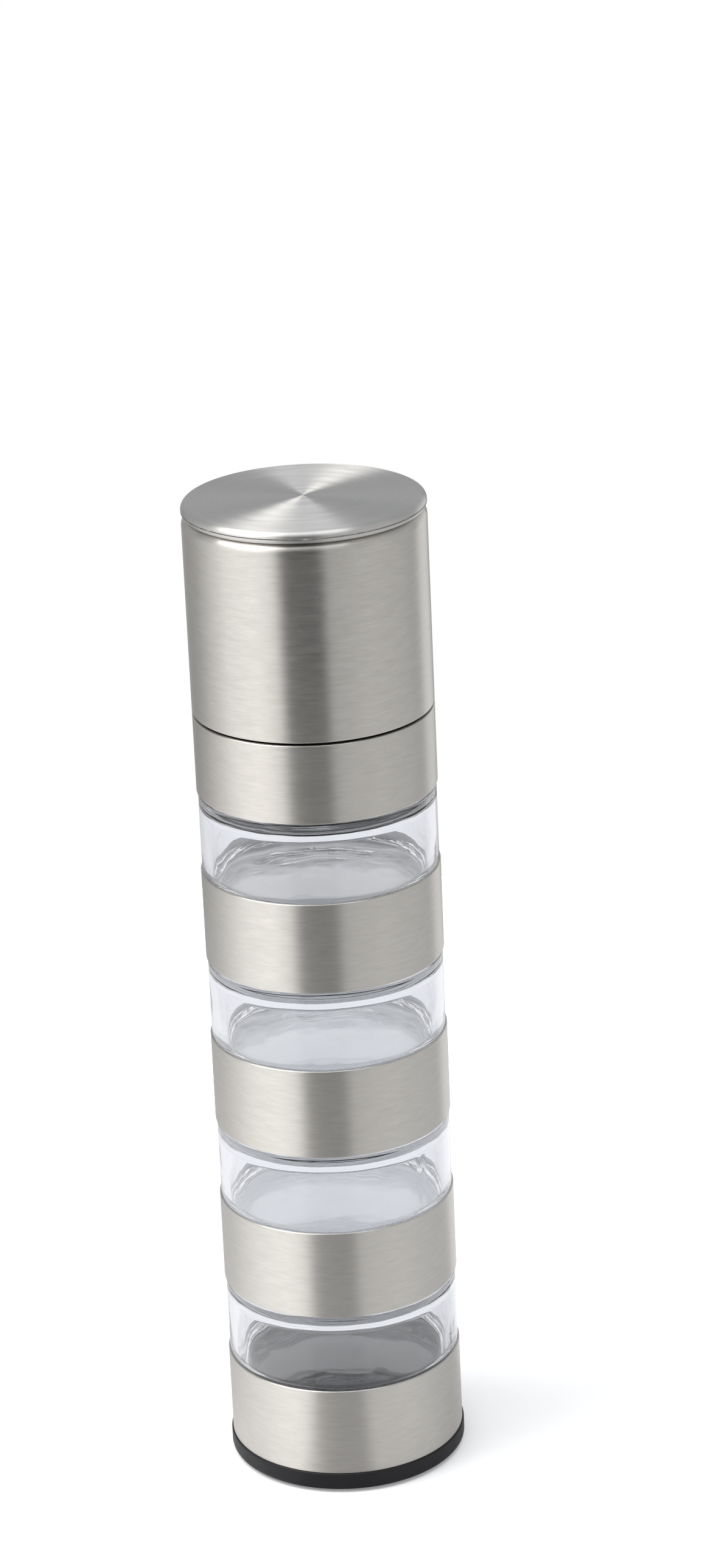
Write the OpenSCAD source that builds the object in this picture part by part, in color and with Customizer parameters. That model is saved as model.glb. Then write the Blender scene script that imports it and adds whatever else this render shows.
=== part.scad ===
// Tower spice mill: a grinder head on four glass jars that screw into one another, on a black base.
// Lengths are in millimetres. The tower stands on z = 0 with its axis on Z.

/* [Tower] */
// Outer diameter of the steel bands, the collar and the sleeve
body_d = 60; // [54:1:70]
// Glue gap between two pieces that are fixed together
glue_gap = 0.08; // [0.04:0.01:0.12]

/* [Base] */
// How far the base stands out past the steel band
base_overhang = 0.4; // [0.1:0.1:1.5]
// Height of the black rim that shows under the lowest band
base_rim_h = 4.7; // [3.6:0.1:8]
// Thickness of the base's floor
base_floor_t = 2.4; // [1.6:0.1:3.4]
// Rounding of the base's lower edge
base_edge_r = 1.2; // [0.4:0.1:2]
// Chamfer of the base's upper edge
base_chamfer = 0.3; // [0.1:0.1:0.6]
// Wall of the plug that screws into the lowest jar
base_plug_wall = 2.4; // [1.6:0.1:4]
// Number of rubber feet
foot_count = 3; // [3:1:6]
// Diameter of a foot
foot_d = 6; // [4:0.5:7]
// How far a foot stands below the base
foot_proud = 0.6; // [0.4:0.1:1.5]
// Depth of the pocket that holds a foot
foot_pocket = 0.8; // [0.4:0.1:1.2]
// Distance from the base's edge to a foot's centre
foot_inset = 5; // [4.5:0.5:9]
// Direction of the first foot, in degrees
foot_turn = -52; // [-90:1:90]

/* [Jar] */
// Height of clear glass that shows between two bands
glass_show = 21; // [16:0.5:40]
// How far the glass lies back from the band's face
glass_setback = 0.35; // [0.2:0.05:0.6]
// Wall of the glass
glass_wall = 2.7; // [2:0.1:4]
// Thickness of the glass floor at its middle
floor_t = 6.6; // [4:0.1:9]
// Hollow under the glass floor
push_up = 0.8; // [0.4:0.1:2.5]
// Width of the ring that the glass stands on
glass_foot_w = 6; // [4:0.5:8]
// Rounding of the glass's lower edge
glass_foot_r = 0.8; // [0.3:0.1:1.5]
// Rounding between floor and wall, inside
floor_fillet = 3; // [1:0.1:5]
// Rounding of the shoulder, outside
shoulder_r = 1.6; // [0.5:0.1:2]
// Thickness of the shoulder
shoulder_t = 3; // [2:0.1:5]
// Rounding under the shoulder, inside
shoulder_fillet = 4; // [1:0.1:6]
// Width of the shoulder, from the glass's face to the neck
shoulder_w = 4.45; // [4:0.05:7]
// Height of the neck
neck_h = 10.4; // [8:0.1:16]
// Wall of the neck
neck_wall = 2.3; // [2:0.1:4]
// Rounding of the neck's rim
neck_rim_r = 0.9; // [0.3:0.1:1]
// Rounding at the neck's root
neck_root_r = 0.7; // [0.2:0.1:0.9]

/* [Band and socket] */
// Wall of the steel band
band_t = 0.7; // [0.5:0.05:1]
// How far the jar's floor lies below the band's top edge
floor_drop = 2.25; // [1:0.05:6]
// Room round a neck for the screw threads
thread_room = 1; // [0.8:0.05:1.4]
// Chamfer at a socket's mouth
mouth_chamfer = 0.6; // [0.2:0.1:1]
// Thickness of a socket's closed top under the glass
cap_t = 2; // [1.2:0.1:4]
// Thickness of a seal
seal_t = 1.2; // [0.8:0.1:2]
// How far a seal's edges stay off the socket and the bore
seal_edge_gap = 0.3; // [0.1:0.05:0.6]
// Gap between a neck's rim and its seal
seat_gap = 0.15; // [0.05:0.05:0.4]

/* [Collar] */
// Wall of the steel collar ring
collar_t = 0.9; // [0.6:0.05:1.4]
// Thickness of the collar's deck over its seal
deck_t = 8.45; // [5:0.05:14]
// Gap between the collar and the sleeve
turn_gap = 0.7; // [0.4:0.05:1.5]
// Play of the glide ring in that gap
glide_play = 0.05; // [0.02:0.01:0.1]
// How far the glide ring's edges lie back from the collar's deck
glide_inset = 0.6; // [0.3:0.1:1]
// Narrowing of the funnel from the neck's bore to the spigot's bore
funnel_step = 1.9; // [0.5:0.1:3]
// Wall of the spigot that the mill housing turns on
spigot_wall = 3; // [2.4:0.1:4]

/* [Bearing] */
// Running clearance round a turning piece
run_gap = 0.06; // [0.03:0.01:0.1]
// Height of the housing's bearing land
land_h = 6; // [3:0.5:10]
// Thickness of the snap ring
ring_t = 1.2; // [0.8:0.1:2]
// Depth of the snap ring's groove
ring_groove = 1.2; // [0.6:0.1:1.6]
// How far the snap ring stands out of the spigot
ring_reach = 2.1; // [1:0.1:2.6]
// End play between the land and the snap ring
ring_play = 0.15; // [0.05:0.05:0.4]
// Opening of the split in the snap ring
ring_split = 4; // [2:0.5:8]
// Height of the spigot above the snap ring
spigot_over = 3.15; // [2:0.05:6]
// Clearance between the fixed spigot and the turning housing
lip_gap = 0.6; // [0.3:0.1:1.5]

/* [Shaft and spring] */
// Number of spokes in the spider
spoke_count = 3; // [2:1:4]
// Direction of the first spoke, in degrees
spoke_turn = 90; // [0:1:120]
// Width of a spoke
spoke_w = 3; // [2:0.1:5]
// Height of the spider
spider_h = 5; // [3:0.1:9]
// How far the spider lies below the spigot's end
spider_drop = 2.4; // [0:0.1:4]
// Diameter of the spider's hub
hub_d = 14; // [13:0.5:18]
// Width of the square shaft
shaft_w = 6; // [5:0.1:7]
// Clearance on each side of the square shaft
shaft_fit = 0.08; // [0.05:0.01:0.15]
// Diameter of the shaft's head
head_d = 11; // [9.5:0.1:13]
// Thickness of the shaft's head
head_t = 2; // [1:0.1:4]
// Thickness of the washer under the spring
washer_t = 0.6; // [0.4:0.1:1.2]
// Diameter of the wire
wire_d = 0.9; // [0.7:0.05:1.1]
// Gap between the shaft's corners and the spring
spring_gap = 0.9; // [0.4:0.1:1.5]
// Number of curls in the spring
curls = 6; // [3:1:7]
// Play above the spring at rest
spring_play = 0.1; // [0.05:0.05:0.3]
// Depth of the well for the spring in the inner burr
spring_well = 6; // [3:0.5:8]
// Gap round the spring in its well
well_gap = 0.7; // [0.4:0.1:1]

/* [Burrs] */
// Thickness of the lip under the outer burr
lip_t = 2; // [1:0.1:4]
// Wall of the housing round the outer burr
housing_wall = 3.7; // [2.5:0.1:4.5]
// Least wall of the outer burr
burr_wall = 3; // [2:0.1:3.6]
// Height of the feed part of the outer burr
feed_h = 8; // [6:0.5:12]
// How far the feed part narrows towards the waist
feed_taper = 2.3; // [1:0.1:2.6]
// Height of the grinding part of the outer burr
grind_h = 6.6; // [4:0.1:10]
// Slope of the grinding cone, in degrees from the axis
cone_deg = 24; // [15:1:28]
// Gap between the two burrs at rest
burr_gap = 0.7; // [0.6:0.05:1.2]
// How far the inner burr's end lies above the outer burr's end
feed_lag = 2; // [1:0.1:4]
// How far the inner burr stands above the outer burr
burr_rise = 0.5; // [0.2:0.1:2]
// Depth of the coarse feed ridges
coarse_depth = 1.4; // [0.6:0.1:1.8]
// Depth of the fine grinding teeth
fine_depth = 0.7; // [0.3:0.1:1]
// Number of coarse ridges
coarse_count = 6; // [4:1:9]
// Number of fine teeth
fine_count = 24; // [16:1:30]
// Lean of the teeth over the burr's height, in degrees
tooth_helix = 34; // [0:1:60]
// Thickness of the retainer over the outer burr
retainer_t = 1.4; // [0.8:0.1:3]
// Gap between the retainer's bore and the outer burr's teeth
retainer_gap = 0.3; // [0.1:0.1:1]

/* [Sleeve] */
// Sheet thickness of the double-walled sleeve
skin_t = 1; // [0.7:0.05:1.4]
// Hollow between the sleeve's two walls
wall_gap = 2.1; // [1.5:0.1:3]
// Thickness of the sleeve's rim
rim_t = 3; // [2.6:0.1:5]
// Rounding of the rim, outside
rim_r_out = 2.4; // [1:0.1:2.5]
// Rounding of the rim, inside
rim_r_in = 1.4; // [0.5:0.1:1.5]
// Chamfer of the sleeve's lower edge and of the collar's upper edge
seam_chamfer = 0.25; // [0.1:0.05:0.4]

/* [Knob] */
// Diameter of the knob's stem and ring
knob_d = 9.1; // [8.6:0.1:12]
// Diameter of the hole in the knob's top
recess_d = 7; // [4:0.1:7.4]
// Depth of that hole
recess_depth = 6.8; // [3:0.1:12]
// Length of shaft thread inside the knob
thread_len = 8.9; // [6:0.1:14]
// Room over the shaft's end inside the knob
tip_room = 1.4; // [0.5:0.1:3]
// Number of wings
wing_count = 3; // [2:1:4]
// Reach of a wing from the axis
wing_reach = 10.3; // [8:0.1:14]
// Width of a wing
wing_w = 5.2; // [4:0.1:6.5]
// Height of a wing on its high side
wing_h = 5.2; // [4:0.1:8]
// Height of a wing on its low side
wing_low = 2; // [1:0.1:3.5]
// Width of the flat crest along a wing's high side
wing_crest = 1.2; // [0.6:0.1:2]
// Hollow in the top of a wing between ring and tip
wing_dip = 0.8; // [0.2:0.1:1.5]
// How far the ring stands above the wings' roots
ring_proud = 0.5; // [0.2:0.1:1]
// Direction of the first wing, in degrees
wing_turn = 30; // [0:1:120]
// How far the knob lies below the sleeve's rim
knob_drop = 4.6; // [3:0.1:12]
// How far the square part of the shaft ends below the inner burr's top
square_drop = 1.6; // [1:0.1:4]

/* [Lid] */
// Thickness of the lid at its edge
lid_edge_t = 3; // [2.4:0.1:5]
// Rounding of the lid's edge
lid_edge_r = 1.4; // [0.6:0.1:1.5]
// Crown of the lid's top
lid_crown = 0.5; // [0.2:0.1:2]
// Sheet thickness of the lid over its recess
lid_sheet = 1.2; // [0.8:0.1:1.8]
// How far the lid's recess reaches past the sleeve's bore
hem_reach = 0.4; // [0.2:0.1:0.8]
// How far the plug's flange lies up inside the lid
flange_lift = 0.2; // [0.1:0.05:0.4]
// Gap between the plug and the sleeve's bore
plug_gap = 0.7; // [0.35:0.05:1.2]
// How far the plug reaches into the sleeve
plug_h = 5.7; // [3:0.1:9]
// Wall of the plug
plug_wall = 2.3; // [1.5:0.1:4]
// Chamfer of the plug's lower edge
plug_chamfer = 0.7; // [0.2:0.1:1.2]
// Width of the slots in the plug
slot_w = 3; // [1.5:0.1:6]
// Number of slots in the plug
slot_count = 2; // [1:1:4]
// Direction of the first slot, in degrees
slot_turn = 208; // [0:1:359]

/* [Hidden] */
$fn = 96;
jar_count = 4;
jar_pieces = ["glass", "band", "socket", "seal"];
tooth_points = 72;
tooth_steps = 4;
tooth_lean = 0.7;
zone_step = 0.4;
dip_steps = 6;
wire_sides = 6;
wire_rings = 8;
cut = 1;

// Radii, from the outside in
body_r = body_d / 2;
base_r = body_r + base_overhang;
glass_r = body_r - glass_setback;
glass_low_r = body_r - band_t - glue_gap;
glass_in_r = glass_r - glass_wall;
neck_r = glass_r - shoulder_w;
neck_bore_r = neck_r - neck_wall;
socket_r = neck_r + thread_room;
glass_foot_in_r = glass_low_r - glass_foot_w;
collar_insert_r = body_r - collar_t - glue_gap;
spigot_bore_r = neck_bore_r - funnel_step;
spigot_r = spigot_bore_r + spigot_wall;
land_r = spigot_r + run_gap;
ring_r = spigot_r + ring_reach;
ring_room_r = ring_r + lip_gap;
housing_r = body_r - skin_t - glue_gap;
bore_r = body_r - 2 * skin_t - wall_gap;
housing_top_r = bore_r - glue_gap;
seat_r = housing_top_r - housing_wall;
outer_burr_r = seat_r - glue_gap;
feed_root_r = outer_burr_r - burr_wall;
feed_crest_r = feed_root_r - coarse_depth;
waist_r = feed_crest_r - feed_taper;
cone_slope = tan(cone_deg);
retainer_bore_r = waist_r + grind_h * cone_slope + fine_depth + retainer_gap;
lid_recess_r = bore_r + hem_reach;
plug_r = bore_r - plug_gap;
wire_r = wire_d / 2;
spring_r = shaft_w / sqrt(2) + spring_gap + wire_r;
well_r = spring_r + wire_r + well_gap;
washer_bore_r = shaft_w / sqrt(2) + shaft_fit;
knob_bore_r = shaft_w / 2 + run_gap;

// Heights inside a socket, from its mouth
seal_z = neck_h + seat_gap;
cap_z = seal_z + seal_t;
glass_z = cap_z + cap_t;
floor_z = glass_z + push_up + floor_t;
band_h = floor_z + floor_drop;
jar_pitch = band_h + glass_show;

// Heights of the tower's parts
base_h = foot_proud + base_rim_h;
head_z = base_h + jar_count * jar_pitch;

// Heights inside the head, from the collar's lower edge
collar_h = cap_z + deck_t;
sleeve_z = collar_h + turn_gap;
land_z = sleeve_z + land_h;
ring_z = land_z + ring_play;
spigot_z = ring_z + ring_t + spigot_over;
spider_z = spigot_z - spider_drop;
lip_z = spigot_z + lip_gap;
seat_z = lip_z + lip_t;
waist_z = seat_z + feed_h;
outer_top_z = waist_z + grind_h;
inner_low_z = seat_z + feed_lag;
inner_top_z = outer_top_z + burr_rise;
knob_h = thread_len + tip_room + recess_depth;
knob_z = inner_top_z + knob_h;
rim_z = knob_z + knob_drop;
well_z = inner_low_z + spring_well;
washer_z = spider_z + washer_t;

steel = "#c9c4bb";
black = "#2a282c";
clear_glass = [0.84, 0.9, 0.94, 0.4];
natural = "#dfe4e6";
ceramic = "#efe8da";
silicone = "#d5d9db";

// Points on an arc in the plane of a profile, from angle a to angle b
function arc(r, z, radius, a, b, steps = 6) =
    [for (i = [0:steps]) let (t = a + (b - a) * i / steps) [r + radius * cos(t), z + radius * sin(t)]];

// Points on a shallow dome from the axis at height top to the given half-width, sunk by rise
function dome(half, top, rise, steps = 8) =
    let (radius = (half * half + rise * rise) / (2 * rise), reach = asin(half / radius))
    [for (i = [0:steps]) let (t = reach * i / steps) [radius * sin(t), top - radius * (1 - cos(t))]];

// Depth of a shallow hollow at a share of its width, with 1 in the middle
function hollow(share) = 4 * share * (1 - share);

function reversed(list) = [for (i = [len(list) - 1:-1:0]) list[i]];

module turned(points) {
    rotate_extrude() polygon(points);
}

module tube(outer, inner, low, high) {
    turned([[inner, low], [outer, low], [outer, high], [inner, high]]);
}

module around(count, first = 0) {
    for (i = [0:count - 1]) rotate(first + i * 360 / count) children();
}

// Base: rim, floor and threaded plug in one moulding, with pockets for the feet
module base_cap() {
    inside_r = neck_r - base_plug_wall;
    color(black) difference() {
        turned(concat(
            [[0, foot_proud]],
            arc(base_r - base_edge_r, foot_proud + base_edge_r, base_edge_r, -90, 0),
            [[base_r, base_h - base_chamfer], [base_r - base_chamfer, base_h], [neck_r, base_h]],
            [[neck_r, base_h + neck_h], [inside_r, base_h + neck_h]],
            [[inside_r, foot_proud + base_floor_t], [0, foot_proud + base_floor_t]]
        ));
        around(foot_count, foot_turn) translate([base_r - foot_inset, 0, -cut])
            cylinder(d = foot_d + 2 * glue_gap, h = cut + foot_proud + foot_pocket);
    }
}

module base_feet() {
    color(black) around(foot_count, foot_turn) translate([base_r - foot_inset, 0, 0])
        cylinder(d = foot_d, h = foot_proud + foot_pocket);
}

// Glass: thick floor with a shallow hollow under it, straight wall, rounded shoulder and plain neck
module jar_glass() {
    rim_z = jar_pitch + neck_h;
    under_z = jar_pitch - shoulder_t;
    fillet = min(shoulder_fillet, glass_in_r - neck_bore_r);
    color(clear_glass) turned(concat(
        dome(glass_foot_in_r, glass_z + push_up, push_up),
        arc(glass_low_r - glass_foot_r, glass_z + glass_foot_r, glass_foot_r, -90, 0),
        [[glass_low_r, band_h], [glass_r, band_h]],
        arc(glass_r - shoulder_r, jar_pitch - shoulder_r, shoulder_r, 0, 90),
        arc(neck_r + neck_root_r, jar_pitch + neck_root_r, neck_root_r, 270, 180),
        arc(neck_r - neck_rim_r, rim_z - neck_rim_r, neck_rim_r, 0, 90),
        arc(neck_bore_r + neck_rim_r, rim_z - neck_rim_r, neck_rim_r, 90, 180),
        [[neck_bore_r, under_z]],
        arc(glass_in_r - fillet, under_z - fillet, fillet, 90, 0),
        arc(glass_in_r - floor_fillet, floor_z + floor_fillet, floor_fillet, 0, -90),
        [[0, floor_z]]
    ));
}

module jar_band() {
    color(steel) tube(body_r, body_r - band_t, 0, band_h);
}

// Socket: screw cap for the neck below, with a threaded skirt and a closed top that the glass stands on
module jar_socket() {
    color(natural) turned([
        [socket_r + mouth_chamfer, 0], [glass_low_r, 0], [glass_low_r, glass_z], [0, glass_z],
        [0, cap_z], [socket_r, cap_z], [socket_r, mouth_chamfer]
    ]);
}

module seal() {
    color(silicone) tube(socket_r - seal_edge_gap, neck_bore_r + seal_edge_gap, seal_z, cap_z);
}

module collar_ring() {
    color(steel) turned([
        [body_r - collar_t, 0], [body_r, 0], [body_r, collar_h - seam_chamfer],
        [body_r - seam_chamfer, collar_h], [body_r - collar_t, collar_h]
    ]);
}

// Collar insert: socket for a jar's neck, funnel, spigot with a groove, and the spider for the shaft
module collar_insert() {
    color(black) difference() {
        union() {
            turned([
                [socket_r + mouth_chamfer, 0], [collar_insert_r, 0], [collar_insert_r, collar_h],
                [spigot_r, collar_h], [spigot_r, spigot_z], [spigot_bore_r, spigot_z],
                [spigot_bore_r, collar_h], [neck_bore_r, cap_z], [socket_r, cap_z],
                [socket_r, mouth_chamfer]
            ]);
            translate([0, 0, spider_z - spider_h]) cylinder(d = hub_d, h = spider_h);
            around(spoke_count, spoke_turn) translate([0, -spoke_w / 2, spider_z - spider_h])
                cube([spigot_bore_r + spigot_wall / 2, spoke_w, spider_h]);
        }
        tube(spigot_r + cut, spigot_r - ring_groove, ring_z, ring_z + ring_t);
        square_bar(shaft_w + 2 * shaft_fit, spider_z - spider_h - cut, spider_z + cut);
    }
}

module square_bar(width, low, high) {
    translate([-width / 2, -width / 2, low]) cube([width, width, high - low]);
}

module glide_ring() {
    color(black) tube(collar_insert_r - glide_inset, spigot_r + glide_inset, collar_h, sleeve_z - glide_play);
}

module snap_ring() {
    color(steel) difference() {
        tube(ring_r, spigot_r - ring_groove + glue_gap, ring_z, ring_z + ring_t);
        translate([0, -ring_split / 2, ring_z - cut]) cube([ring_r + cut, ring_split, ring_t + 2 * cut]);
    }
}

// Shaft: round head under the spider, square bar, round end for the knob's thread
module drive_shaft() {
    square_z = inner_top_z - square_drop;
    color(steel) {
        translate([0, 0, spider_z - spider_h - head_t]) cylinder(d = head_d, h = head_t);
        square_bar(shaft_w, spider_z - spider_h, square_z);
        translate([0, 0, square_z]) cylinder(d = shaft_w, h = inner_top_z + thread_len - square_z);
    }
}

module spring_washer() {
    color(steel) tube(spring_r + wire_r, washer_bore_r, spider_z, washer_z);
}

// Spring: one tube swept along a helix, with the least gap between curls measured on its own points
spring_low = washer_z + wire_r;
spring_high = well_z - spring_play - wire_r;
spring_steps = curls * wire_rings;
spring_path = [for (i = [0:spring_steps]) let (a = 360 * i / wire_rings)
    [spring_r * cos(a), spring_r * sin(a), spring_low + (spring_high - spring_low) * i / spring_steps]];
spring_self_gap = min([for (i = [0:spring_steps - wire_rings]) for (j = [i + wire_rings / 2:spring_steps])
    norm(spring_path[j] - spring_path[i])]) - wire_d;
echo(spring_self_gap = spring_self_gap);

module burr_spring() {
    rings = spring_steps + 1;
    points = [for (i = [0:spring_steps]) for (s = [0:wire_sides - 1])
        let (a = 360 * i / wire_rings, t = 360 * s / wire_sides, r = spring_r + wire_r * cos(t))
        [r * cos(a), r * sin(a), spring_path[i][2] + wire_r * sin(t)]];
    color(steel) polyhedron(
        concat(points, [spring_path[0], spring_path[spring_steps]]),
        lofted_faces(rings, wire_sides, true)
    );
}

// Triangles of a closed loft: rings of equal point counts, then one point in the middle of each end
function lofted_faces(rings, sides, flip) =
    let (start = rings * sides, last = (rings - 1) * sides)
    let (sheet = [for (i = [0:rings - 2]) for (j = [0:sides - 1])
        let (a = i * sides + j, b = i * sides + (j + 1) % sides)
        each [[a, a + sides, b + sides], [a, b + sides, b]]])
    let (caps = [for (j = [0:sides - 1]) let (n = (j + 1) % sides)
        each [[start, j, n], [start + 1, last + n, last + j]]])
    [for (f = concat(sheet, caps)) flip ? [f[0], f[2], f[1]] : f];

// Height of a saw tooth at a share of its pitch
function saw(t) = t < tooth_lean ? t / tooth_lean : (1 - t) / (1 - tooth_lean);

// One ring of a toothed surface: crest radius, tooth depth (negative for teeth that stand outwards) and count
function tooth_ring(z, crest, depth, count) =
    [for (j = [0:tooth_points - 1])
        let (share = j / tooth_points, turn = count * (share + tooth_helix / 360 * (z - seat_z) / feed_h))
        let (r = crest + depth * (1 - saw(turn - floor(turn))), a = 360 * share)
        [r * cos(a), r * sin(a), z]];

module toothed(rings) {
    low = rings[0][0][2];
    high = rings[len(rings) - 1][0][2];
    points = [for (ring = rings) each ring];
    polyhedron(concat(points, [[0, 0, low], [0, 0, high]]), lofted_faces(len(rings), tooth_points, false));
}

// Inner burr: a cone with coarse feed ridges below and fine grinding teeth above, keyed to the square shaft
function inner_crest(z) = waist_r - burr_gap + (z - waist_z) * cone_slope;

module inner_burr() {
    coarse = [for (i = [0:tooth_steps]) let (z = inner_low_z + (waist_z - inner_low_z) * i / tooth_steps)
        tooth_ring(z, inner_crest(z), -coarse_depth, coarse_count)];
    fine_z = waist_z + zone_step;
    fine = [for (i = [0:tooth_steps]) let (z = fine_z + (inner_top_z - fine_z) * i / tooth_steps)
        tooth_ring(z, inner_crest(z), -fine_depth, fine_count)];
    color(ceramic) difference() {
        toothed(concat(coarse, fine));
        square_bar(shaft_w + 2 * shaft_fit, inner_low_z - cut, inner_top_z + cut);
        translate([0, 0, inner_low_z - cut]) cylinder(r = well_r, h = cut + spring_well);
    }
}

// Outer burr: a ring whose bore narrows from the feed to a waist and opens again as the grinding cone
module outer_burr() {
    coarse = [for (i = [0:tooth_steps]) let (z = seat_z + feed_h * i / tooth_steps)
        tooth_ring(z, feed_crest_r - feed_taper * i / tooth_steps, coarse_depth, coarse_count)];
    fine = [for (i = [0:tooth_steps]) let (z = waist_z + zone_step + (grind_h - zone_step) * i / tooth_steps)
        tooth_ring(z, waist_r + (z - waist_z) * cone_slope, fine_depth, fine_count)];
    below = [tooth_ring(seat_z - cut, feed_crest_r, coarse_depth, coarse_count)];
    above = [tooth_ring(outer_top_z + cut, waist_r + grind_h * cone_slope, fine_depth, fine_count)];
    color(ceramic) difference() {
        translate([0, 0, seat_z]) cylinder(r = outer_burr_r, h = outer_top_z - seat_z);
        toothed(concat(below, coarse, fine, above));
    }
}

// Mill housing: bearing land, room for the snap ring, lip and seat for the outer burr
module mill_housing() {
    color(black) turned([
        [land_r, sleeve_z], [housing_r, sleeve_z], [housing_r, seat_z], [housing_top_r, seat_z],
        [housing_top_r, outer_top_z], [seat_r, outer_top_z], [seat_r, seat_z], [feed_root_r, seat_z],
        [spigot_bore_r, lip_z], [ring_room_r, lip_z], [ring_room_r, land_z], [land_r, land_z]
    ]);
}

module burr_retainer() {
    color(black) turned([
        [retainer_bore_r, outer_top_z], [housing_top_r, outer_top_z],
        [housing_top_r, outer_top_z + retainer_t], [retainer_bore_r + retainer_t, outer_top_z + retainer_t]
    ]);
}

// Sleeve: one drawn shell whose rim turns in and runs down again as the outlet's wall
module head_sleeve() {
    hollow_z = rim_z - rim_t;
    color(steel) turned(concat(
        [[body_r - skin_t, sleeve_z], [body_r - seam_chamfer, sleeve_z], [body_r, sleeve_z + seam_chamfer]],
        arc(body_r - rim_r_out, rim_z - rim_r_out, rim_r_out, 0, 90),
        arc(bore_r + rim_r_in, rim_z - rim_r_in, rim_r_in, 90, 180),
        [[bore_r, seat_z], [bore_r + skin_t, seat_z], [bore_r + skin_t, hollow_z], [body_r - skin_t, hollow_z]]
    ));
}

// Knob: long stem with a deep hole in its top and pitched wings round it
module adjuster_knob() {
    wing_z = knob_z - wing_h;
    color(black) difference() {
        union() {
            translate([0, 0, inner_top_z]) cylinder(d = knob_d, h = knob_h);
            around(wing_count, wing_turn) knob_wing(wing_z);
        }
        translate([0, 0, inner_top_z - cut]) cylinder(r = knob_bore_r, h = knob_h + 2 * cut);
        translate([0, 0, knob_z - recess_depth]) cylinder(d = recess_d, h = recess_depth + cut);
    }
}

// Wing: a bar with a sloping top, trimmed by a turned profile that hollows its crest and rounds its tip
module knob_wing(low) {
    root_r = recess_d / 2;
    top_z = low + wing_h;
    slope = (wing_h - wing_low) / (wing_w - wing_crest);
    intersection() {
        translate([0, 0, low]) rotate([90, 0, 90]) linear_extrude(wing_reach + cut) polygon([
            [-wing_w / 2, 0], [wing_w / 2, 0], [wing_w / 2, wing_h + slope * wing_crest], [-wing_w / 2, wing_low]
        ]);
        turned(concat(
            [[0, low], [wing_reach, low]],
            [for (i = [0:dip_steps]) let (share = i / dip_steps)
                [wing_reach + (root_r - wing_reach) * share, top_z - ring_proud * share - wing_dip * hollow(share)]],
            [[0, top_z - ring_proud]]
        ));
    }
}

// Lid: crowned steel disc with a rounded edge and a recess for the plug's flange
module lid_disc() {
    edge_r = body_r - lid_edge_r;
    ceiling_z = rim_z + lid_edge_t - lid_sheet;
    color(steel) turned(concat(
        [[0, ceiling_z], [lid_recess_r, ceiling_z], [lid_recess_r, rim_z]],
        arc(edge_r, rim_z + lid_edge_r, lid_edge_r, -90, 0),
        arc(edge_r, rim_z + lid_edge_t - lid_edge_r, lid_edge_r, 0, 90),
        reversed(dome(edge_r, rim_z + lid_edge_t + lid_crown, lid_crown))
    ));
}

module lid_plug() {
    ceiling_z = rim_z + lid_edge_t - lid_sheet;
    inside_r = plug_r - plug_wall;
    color(black) difference() {
        turned([
            [inside_r, rim_z - plug_h], [plug_r - plug_chamfer, rim_z - plug_h],
            [plug_r, rim_z - plug_h + plug_chamfer], [plug_r, rim_z + flange_lift],
            [lid_recess_r - glue_gap, rim_z + flange_lift], [lid_recess_r - glue_gap, ceiling_z],
            [inside_r, ceiling_z]
        ]);
        around(slot_count, slot_turn) translate([0, -slot_w / 2, rim_z - plug_h - cut])
            cube([body_r, slot_w, plug_h + cut]);
    }
}

module jar_piece(piece) {
    if (piece == "glass") jar_glass();
    if (piece == "band") jar_band();
    if (piece == "socket") jar_socket();
    if (piece == "seal") seal();
}

module in_head() {
    translate([0, 0, head_z]) children();
}

base_cap();
base_feet();
for (k = [1:jar_count]) for (piece = jar_pieces)
    translate([0, 0, base_h + (jar_count - k) * jar_pitch]) jar_piece(piece);
in_head() collar_ring();
in_head() collar_insert();
in_head() seal();  // head_seal
in_head() glide_ring();
in_head() snap_ring();
in_head() drive_shaft();
in_head() spring_washer();
in_head() burr_spring();
in_head() inner_burr();
in_head() adjuster_knob();
in_head() head_sleeve();
in_head() mill_housing();
in_head() outer_burr();
in_head() burr_retainer();
in_head() lid_disc();
in_head() lid_plug();
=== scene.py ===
import math

import bmesh
import bpy
from mathutils import Matrix, Vector


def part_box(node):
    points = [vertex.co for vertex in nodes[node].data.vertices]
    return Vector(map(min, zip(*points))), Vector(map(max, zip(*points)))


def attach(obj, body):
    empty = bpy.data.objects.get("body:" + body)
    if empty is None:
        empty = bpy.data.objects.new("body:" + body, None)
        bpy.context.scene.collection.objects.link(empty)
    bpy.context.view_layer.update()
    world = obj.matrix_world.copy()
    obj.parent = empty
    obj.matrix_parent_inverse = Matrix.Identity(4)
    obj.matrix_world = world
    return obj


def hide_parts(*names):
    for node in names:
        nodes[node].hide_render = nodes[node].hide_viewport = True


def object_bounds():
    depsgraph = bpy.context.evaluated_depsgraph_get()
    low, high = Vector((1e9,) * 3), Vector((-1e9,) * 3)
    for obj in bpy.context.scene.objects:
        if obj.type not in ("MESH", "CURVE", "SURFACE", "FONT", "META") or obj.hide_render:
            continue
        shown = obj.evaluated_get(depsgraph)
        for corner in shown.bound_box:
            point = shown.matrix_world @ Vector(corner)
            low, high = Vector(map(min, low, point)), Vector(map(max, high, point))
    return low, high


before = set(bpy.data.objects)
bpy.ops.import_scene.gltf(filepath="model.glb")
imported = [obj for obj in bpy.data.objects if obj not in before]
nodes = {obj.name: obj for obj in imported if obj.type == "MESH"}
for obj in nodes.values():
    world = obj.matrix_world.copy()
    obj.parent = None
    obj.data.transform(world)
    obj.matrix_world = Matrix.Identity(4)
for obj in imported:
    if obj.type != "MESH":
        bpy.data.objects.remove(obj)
cad_low, cad_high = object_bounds()


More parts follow.
